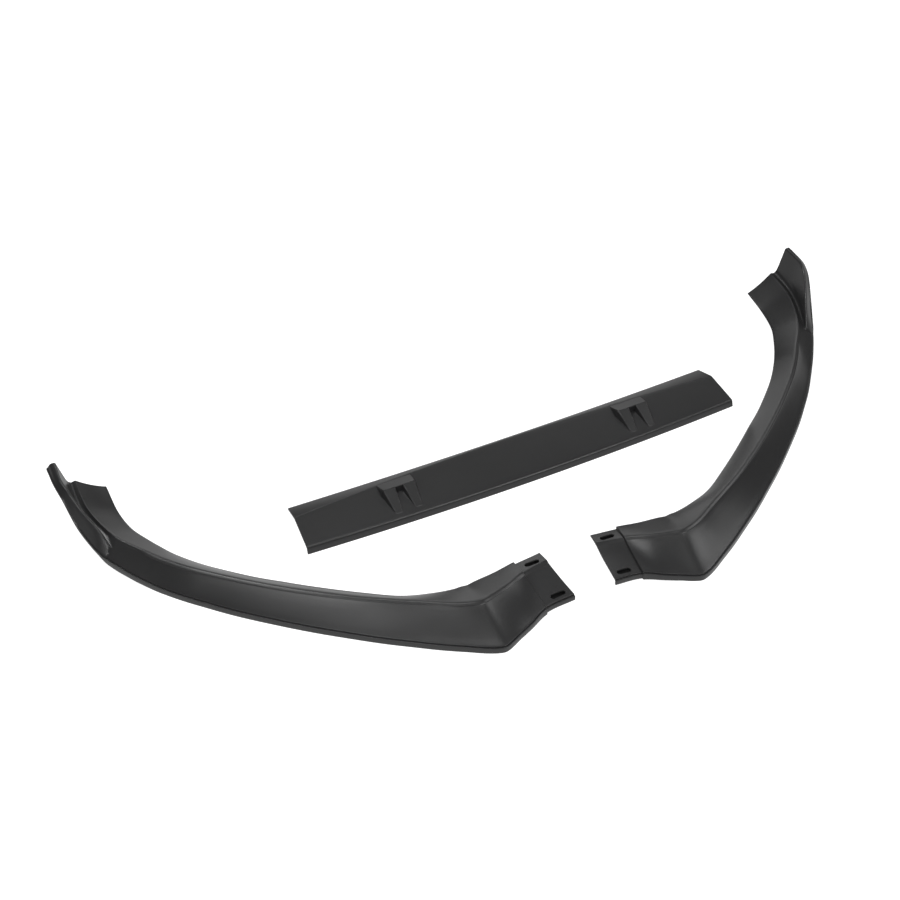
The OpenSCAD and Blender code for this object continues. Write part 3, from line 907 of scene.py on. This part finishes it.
@dataclass
class CentreLip:
    """The bowed centre lip with its two raised tabs.

    Attributes:
        depth: Depth of the whole set.
        length, lip_depth: Length of the lip, its depth at the ends.
        end_lean: How far each end leans outwards from back to front.
        front_bow, back_bow: How far the front and back edges bow out in the middle.
        strip_h, bend_in: Height of the front strip, how far its top lies behind its foot.
        back_h_..., fold_h_..., band_...: Height of the back edge and of the fold before it, width
            of the band between them, at the ends and in the middle.
        wall: Thickness of the walls.
        tab_x, tab_front: Place of each tab's middle and front.
        tab_w, tab_spread, tab_h: Width of a tab at its top, what its foot adds on each side, height.
        tab_round: Rounding of the edges of tabs and ribs.
        rib_tip, rib_w, rib_tip_w: Place of a rib's tip, its width at the tab and at the tip.
        sink: Depth below the skin to which tabs and ribs reach.
        place_x, place_y, turn_deg: Place of the back edge's middle in the set, turn in plan.
    """

    depth: float = 500
    length: float = 701
    end_lean: float = 6
    lip_depth: float = 90
    front_bow: float = 10
    back_bow: float = 18
    strip_h: float = 11
    back_h_end: float = 9.5
    back_h_mid: float = 22
    fold_h_end: float = 20
    fold_h_mid: float = 25.5
    band_end: float = 32
    band_mid: float = 5
    bend_in: float = 3.5
    wall: float = 3
    tab_x: float = 196
    tab_w: float = 50
    tab_spread: float = 4
    tab_h: float = 31
    tab_front: float = 49
    rib_tip: float = 84
    rib_w: float = 19
    rib_tip_w: float = 11
    tab_round: float = 1.0
    sink: float = 2.2
    place_x: float = 30
    place_y: float = 373
    turn_deg: float = 1.4

    PLATE_SHARES = (0.15, 0.3, 0.45, 0.6, 0.75, 0.9)
    STATIONS = 150

    def bow(self, x: float) -> float:
        """Share of the bow at x."""
        return 1 - (2 * x / self.length) ** 2

    def corners(self, bow: float) -> dict[str, tuple[float, float]]:
        """Named corners of the section, as [y, z], for a share of the bow.

        Args:
            bow: 0 at the ends of the lip, 1 in its middle.

        Returns:
            Place of each corner by its name.
        """
        back_y = -self.back_bow * bow
        front_y = -self.lip_depth - self.front_bow * bow
        return {
            "back": (back_y, mix(self.back_h_end, self.back_h_mid, bow)),
            "fold": (back_y - mix(self.band_end, self.band_mid, bow),
                     mix(self.fold_h_end, self.fold_h_mid, bow)),
            "bend": (front_y + self.bend_in, self.strip_h),
            "foot": (front_y, 0.0),
        }

    def plate_z(self, x: float, y: float) -> float:
        """Height of the plate's skin.

        Args:
            x: Distance from the lip's middle.
            y: Distance behind the line of the back edge's ends.

        Returns:
            The height.
        """
        at = self.corners(self.bow(x))
        slope = (at["fold"][1] - at["bend"][1]) / (at["fold"][0] - at["bend"][0])
        return at["fold"][1] - slope * (at["fold"][0] - y)

    def ring(self, bow: float) -> np.ndarray:
        """Section as a closed ring of [y, z] points.

        Args:
            bow: 0 at the ends of the lip, 1 in its middle.

        Returns:
            The ring.
        """
        at = {k: np.array([v]) for k, v in self.corners(bow).items()}
        w = self.wall
        band = (at["fold"] - at["back"])[0]
        slope = -band[1] / band[0]
        cut = w / math.sqrt(1 + slope * slope)
        rails = [(at["back"], 0.8, 3), (at["fold"], 2.2, 6)]
        rails += [(mix(at["fold"], at["bend"], u), 3.0, 1) for u in self.PLATE_SHARES]
        rails += [(at["bend"], 3.0, 8), (at["foot"], 0.7, 3)]
        inside = [at["foot"] + [w, 0], at["bend"] + [w - 0.9, -w], at["fold"] + [0, -1.02 * w],
                  at["back"] + [-cut * slope, -cut]]
        rails += [(p, 0.6, 2) for p in inside]
        return turned_corners(rails)[0][::-1]

    def straight(self) -> bpy.types.Mesh:
        """The lip without its bow, with the way each point moves in the bow as an attribute.

        Returns:
            A closed mesh.
        """
        ends, middle = self.ring(0.0), self.ring(1.0)
        half, edge = self.length / 2, END_ROUND
        x = np.concatenate([[-half], np.linspace(-half + edge, half - edge, self.STATIONS), [half]])
        rings = np.empty((len(x), len(ends), 3))
        swell = np.zeros_like(rings)
        for i, place in enumerate(x):
            drawn = edge if i in (0, len(x) - 1) else 0.0
            rings[i, :, 0] = place
            rings[i, :, 1:] = pinched(ends, drawn)
            swell[i, :, 1:] = pinched(middle, drawn) - rings[i, :, 1:]
        mesh = lofted("straight_centre_lip", rings * MM)
        move = mesh.attributes.new("swell", "FLOAT_VECTOR", "POINT")
        move.data.foreach_set("vector", (swell * MM).astype(np.float32).ravel())
        return mesh

    @staticmethod
    def tree() -> ShapeTree:
        """Tree that bows the straight lip, leans its ends outwards and puts it in its place.

        Returns:
            The filled tree.
        """
        shape = ShapeTree("bowed_lip", {
            "Length": "NodeSocketFloat", "Lean": "NodeSocketFloat", "Place": "NodeSocketVector",
            "Turn": "NodeSocketVector", "Material": "NodeSocketMaterial"})
        place = shape.geo("InputPosition").outputs[0]
        swell = shape.geo("InputNamedAttribute", {"Name": "swell"}, data_type="FLOAT_VECTOR")
        x = shape.shader("SeparateXYZ", {0: place}).outputs[0]
        share = shape.math("DIVIDE", shape.math("MULTIPLY", x, 2.0), shape.value("Length"))
        bow = shape.math("SUBTRACT", 1.0, shape.math("MULTIPLY", share, share))
        moved = shape.shader("VectorMath", {0: swell.outputs[0], "Scale": bow}, operation="SCALE")
        bowed = shape.shader("VectorMath", {0: place, 1: moved.outputs[0]}, operation="ADD")
        parts = shape.shader("SeparateXYZ", {0: bowed.outputs[0]})
        lean = shape.math("MULTIPLY", shape.math("MULTIPLY", x, parts.outputs[1]), shape.value("Lean"))
        leaned = shape.vector(shape.math("SUBTRACT", x, lean), parts.outputs[1], parts.outputs[2])
        lip = shape.geo("SetPosition", {"Geometry": shape.start.outputs[0], "Position": leaned})
        laid = shape.geo("Transform", {
            "Geometry": lip.outputs[0], "Translation": shape.value("Place"),
            "Rotation": shape.value("Turn")})
        shape.close(laid.outputs[0])
        return shape

    def tab_mesh(self, sign: int) -> bpy.types.Mesh:
        """One raised tab with its two tapering ribs, on the lip's left or right half.

        Args:
            sign: -1 for the left half, 1 for the right half.

        Returns:
            A mesh of three closed blocks, in the set's frame.
        """
        half = self.tab_w / 2
        foot_half = half + self.tab_spread
        front, sink, c = -self.tab_front, -self.sink, self.tab_x

        def on(x: float, y: float, dz: float) -> tuple[float, float, float]:
            """Point over the plate, by its height over the skin."""
            return (x, y, self.plate_z(x, y) + dz)

        def at_back(x: float, dz: float) -> tuple[float, float, float]:
            """Point near the back edge, by its height over the skin."""
            back = self.corners(self.bow(x))["back"]
            return (x, back[0] - 1.5, back[1] + 0.4 + dz)

        # Each block has its top's four corners anticlockwise, then its foot's four.
        blocks = [[(c - half, front, self.tab_h), (c + half, front, self.tab_h),
                   at_back(c + foot_half, 0), at_back(c - foot_half, 0),
                   on(c - foot_half, front, sink), on(c + foot_half, front, sink),
                   at_back(c + foot_half, sink - 0.1), at_back(c - foot_half, sink - 0.1)]]
        inner = half - self.rib_w
        tip_out = (self.tab_w + self.rib_tip_w - self.rib_w) / 2
        tip_in = tip_out - self.rib_tip_w
        tip, inside, top = -self.rib_tip, front + 1.5, self.tab_h - 0.3
        for side in (-1, 1):
            near, far = sorted((side * inner, side * half))
            tip_near, tip_far = sorted((side * tip_in, side * tip_out))
            foot_near, foot_far = sorted((side * (inner - 2), side * foot_half))
            blocks.append([
                on(c + tip_near, tip, 0.1), on(c + tip_far, tip, 0.1),
                (c + far, inside, top), (c + near, inside, top),
                on(c + tip_near - 0.5, tip, sink), on(c + tip_far + 0.5, tip, sink),
                on(c + foot_far, inside, sink), on(c + foot_near, inside, sink)])
        sides = [(0, 1, 2, 3), (7, 6, 5, 4), (4, 5, 1, 0), (5, 6, 2, 1), (6, 7, 3, 2), (7, 4, 0, 3)]
        turn = math.radians(self.turn_deg)
        verts, faces = [], []
        for block in blocks:
            base = len(verts)
            for x, y, z in block:
                x *= sign
                verts.append(((self.place_x + x * math.cos(turn) - y * math.sin(turn)) * MM,
                              (self.place_y - self.depth / 2 + x * math.sin(turn) + y * math.cos(turn)) * MM,
                              z * MM))
            faces += [tuple(base + i for i in side)[::sign] for side in sides]
        mesh = bpy.data.meshes.new("tab")
        mesh.from_pydata(verts, [], faces)
        mesh.validate()
        return mesh

    def build(self, shape: ShapeTree, material: bpy.types.Material) -> list[bpy.types.Object]:
        """Makes the lip and its tabs.

        Args:
            shape: Tree from CentreLip.tree().
            material: Finish of the pieces.

        Returns:
            The pieces, riding on the root. The first stands for the node.
        """
        lean = self.end_lean * 2 / (self.length * self.lip_depth) / MM
        shell = shape.shaped("centre_shell", self.straight(), {
            "Length": self.length * MM, "Lean": lean,
            "Place": (self.place_x * MM, (self.place_y - self.depth / 2) * MM, 0.0),
            "Turn": (0.0, 0.0, math.radians(self.turn_deg)), "Material": material})
        pieces = [shell]
        for sign, word in ((-1, "left"), (1, "right")):
            tab = linked(word + "_tab", self.tab_mesh(sign))
            tab.data.materials.append(material)
            bevel = tab.modifiers.new("rounding", "BEVEL")
            bevel.width, bevel.segments, bevel.limit_method = self.tab_round * MM, 3, "ANGLE"
            bevel.angle_limit = math.radians(20)
            pieces.append(tab)
        for piece in pieces:
            smooth_shaded(piece)
            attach(piece, "root")
        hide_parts("centre_lip")
        return pieces


# ---- Studio

@dataclass(frozen=True)
class Softbox:
    """A soft square lamp that aims at the middle of the set.

    Attributes:
        azimuth: Direction of the lamp in degrees, from the front towards the right.
        elevation: Height of the lamp in degrees.
        power: Power in watts.
        distance: Distance from the middle of the set.
        size: Length of its sides.
    """

    azimuth: float
    elevation: float
    power: float
    distance: float = 3.0
    size: float = 0.75

    def place(self) -> bpy.types.Object:
        """Makes the lamp.

        Returns:
            The lamp, aimed at the middle of the set.
        """
        data = bpy.data.lights.new(f"softbox_{self.azimuth}_{self.elevation}", "AREA")
        data.shape, data.size, data.energy = "SQUARE", self.size, self.power
        lamp = linked(data.name, data)
        aimed(lamp, Vector(), self.azimuth, self.elevation, self.distance)
        return lamp


@dataclass
class Studio:
    """Pale floor, soft lamps and the camera of the photograph, in metres and degrees.

    Attributes:
        target: Point that the camera looks at.
        azimuth, elevation, distance: Place of the camera, seen from its target.
        lens: Focal length of the camera in millimetres.
        floor_half: Half the length of the floor's sides.
        floor_glow, floor_shade: Brightness of the floor for the camera, its grey under the lamps.
        gloss_near, gloss_middle, gloss_far: Share of the glow in reflections of the floor, a painted
            reflection.
        near_reach, far_reach: Lengths of the reflected ray over which one share turns to the next.
        ambient: Strength of the plain light from all around.
        card_shade, card_size, card_spots: Grey, size and middles of the dark cards under the slots, which
            paint the shadow seen through them.
        softboxes: The lamps.
    """

    target: tuple[float, float, float] = (-0.0522, 0.1369, 0.0)
    azimuth: float = -25.03
    elevation: float = 42.6
    distance: float = 2.319
    lens: float = 61.6
    floor_half: float = 12.0
    floor_glow: float = 0.95
    floor_shade: float = 0.4
    gloss_near: float = 0.6
    gloss_middle: float = 0.27
    gloss_far: float = 0.5
    near_reach: tuple[float, float] = (0.03, 0.09)
    far_reach: tuple[float, float] = (0.35, 1.0)
    ambient: float = 0.10
    card_shade: float = 0.012
    card_size: tuple[float, float] = (0.024, 0.009)
    card_spots: tuple[tuple[float, float, float], ...] = (
        (0.0607, -0.1400, 0.0178), (0.0527, -0.2020, 0.0142),
        (-0.0573, -0.1400, 0.0178), (-0.0493, -0.2020, 0.0142))
    softboxes: tuple[Softbox, ...] = tuple(Softbox(*lamp) for lamp in (
        (-131, 65, 19.2), (180, 85, 10.3), (-51, 35, 8.3), (24, 55, 12.3), (34, 35, 14.2),
        (-48, 55, 3.5), (140, 45, 2.9), (-63, 25, 4.5), (-33, 65, 2.5), (80, 45, 7.6),
        (-98, 65, 4.7), (158, 15, 2.5), (-40, 45, 3.3), (166, 5, 0.9), (-43, 15, 8.1),
        (171, 35, 3.3), (154, 35, 3.6), (103, 35, 3.7)))

    def camera(self) -> None:
        """Places the camera."""
        data = bpy.data.cameras.new("camera")
        data.lens, data.sensor_width = self.lens, 36
        data.clip_start, data.clip_end = 0.05, 60
        camera = linked("camera", data)
        aimed(camera, Vector(self.target), self.azimuth, self.elevation, self.distance)
        bpy.context.scene.camera = camera

    @staticmethod
    def sheet(name: str, middle: tuple[float, float, float], size: tuple[float, float],
              material: bpy.types.Material) -> None:
        """Lays a level sheet of the studio, which is no part of the object.

        Args:
            name: Name of the sheet.
            middle: Its middle.
            size: Its lengths along x and y.
            material: Its material.
        """
        x, y, z = middle
        half_x, half_y = size[0] / 2, size[1] / 2
        mesh = bpy.data.meshes.new(name)
        mesh.from_pydata([(x - half_x, y - half_y, z), (x + half_x, y - half_y, z),
                          (x + half_x, y + half_y, z), (x - half_x, y + half_y, z)], [], [(0, 1, 2, 3)])
        mesh.materials.append(material)
        linked(name, mesh)

    @staticmethod
    def seen_directly(ray: bpy.types.Node, build: NodeTree) -> bpy.types.NodeSocket:
        """1 for what the camera sees, also through something clear, and 0 for all other rays."""
        return build.math("MAXIMUM", ray.outputs["Is Camera Ray"], ray.outputs["Is Transmission Ray"])

    def floor(self) -> None:
        """Lays the pale floor, which shows white and keeps a soft shadow, and paints its reflection by the
        reflected ray's length.
        """
        made = bpy.data.materials.new("pale_floor")
        build = NodeTree.of_material(made)
        matte = build.shader("BsdfDiffuse", {"Color": (self.floor_shade,) * 3 + (1.0,)})
        glow = build.shader("Emission", {"Color": (1.0, 1.0, 1.0, 1.0)})
        ray = build.shader("LightPath")
        # Painted reflection: the floor in the pieces' reflections is brighter within a few centimetres and
        # far off, darker in between.
        length = ray.outputs["Ray Length"]
        near = build.ranged(length, self.near_reach, (self.gloss_near, self.gloss_middle))
        far = build.ranged(length, self.far_reach, (0.0, self.gloss_far - self.gloss_middle))
        share = build.math("ADD", near, far)
        seen = build.math("MULTIPLY_ADD", ray.outputs["Is Glossy Ray"], share,
                          self.seen_directly(ray, build))
        build.put(glow.inputs["Strength"], build.math("MULTIPLY", seen, self.floor_glow))
        both = build.shader("AddShader", {0: matte.outputs[0], 1: glow.outputs[0]})
        build.surface(both)
        side = 2 * self.floor_half
        self.sheet("floor", (0.0, 0.0, 0.0), (side, side), made)

    def cards(self) -> None:
        """Puts a small dark card close under each slot: a painted shadow, which the slot looks into."""
        made = bpy.data.materials.new("shade_card")
        build = NodeTree.of_material(made)
        build.surface(build.shader("BsdfDiffuse", {"Color": (self.card_shade,) * 3 + (1.0,)}))
        for number, spot in enumerate(self.card_spots, 1):
            self.sheet(f"shade_card_{number}", spot, self.card_size, made)

    def surroundings(self) -> None:
        """Sets the white backdrop and the plain ambient light."""
        world = bpy.data.worlds.new("studio")
        bpy.context.scene.world = world
        build = NodeTree.of_material(world)
        ray = build.shader("LightPath")
        white = (1.0, 1.0, 1.0, 1.0)
        backdrop = build.shader("Background", {"Color": white, "Strength": 1.0})
        around = build.shader("Background", {"Color": white, "Strength": self.ambient})
        both = build.shader("MixShader", {
            0: self.seen_directly(ray, build), 1: around.outputs[0], 2: backdrop.outputs[0]})
        build.surface(both, "ShaderNodeOutputWorld")

    def build(self) -> None:
        """Sets up camera, floor, lamps and surroundings."""
        self.camera()
        self.floor()
        self.cards()
        self.surroundings()
        for box in self.softboxes:
            box.place()
        bpy.context.scene.view_settings.view_transform = "Standard"


def main() -> None:
    """Builds every piece of the set in order, then the studio."""
    logging.basicConfig(level=logging.INFO, format="%(name)s: %(message)s")
    corner_tree, corner_plastic = CornerLip.tree(), SatinPlastic("corner_satin_plastic").material()
    for side in Side:
        piece = CornerLip(side).build(corner_tree, corner_plastic)
        LOG.info("%s: %d faces", piece.name, len(piece.data.polygons))
    centre_plastic = SatinPlastic("centre_satin_plastic").material()
    for piece in CentreLip().build(CentreLip.tree(), centre_plastic):
        LOG.info("%s: %d faces", piece.name, len(piece.data.polygons))
    Studio().build()


if __name__ == "__main__":
    main()
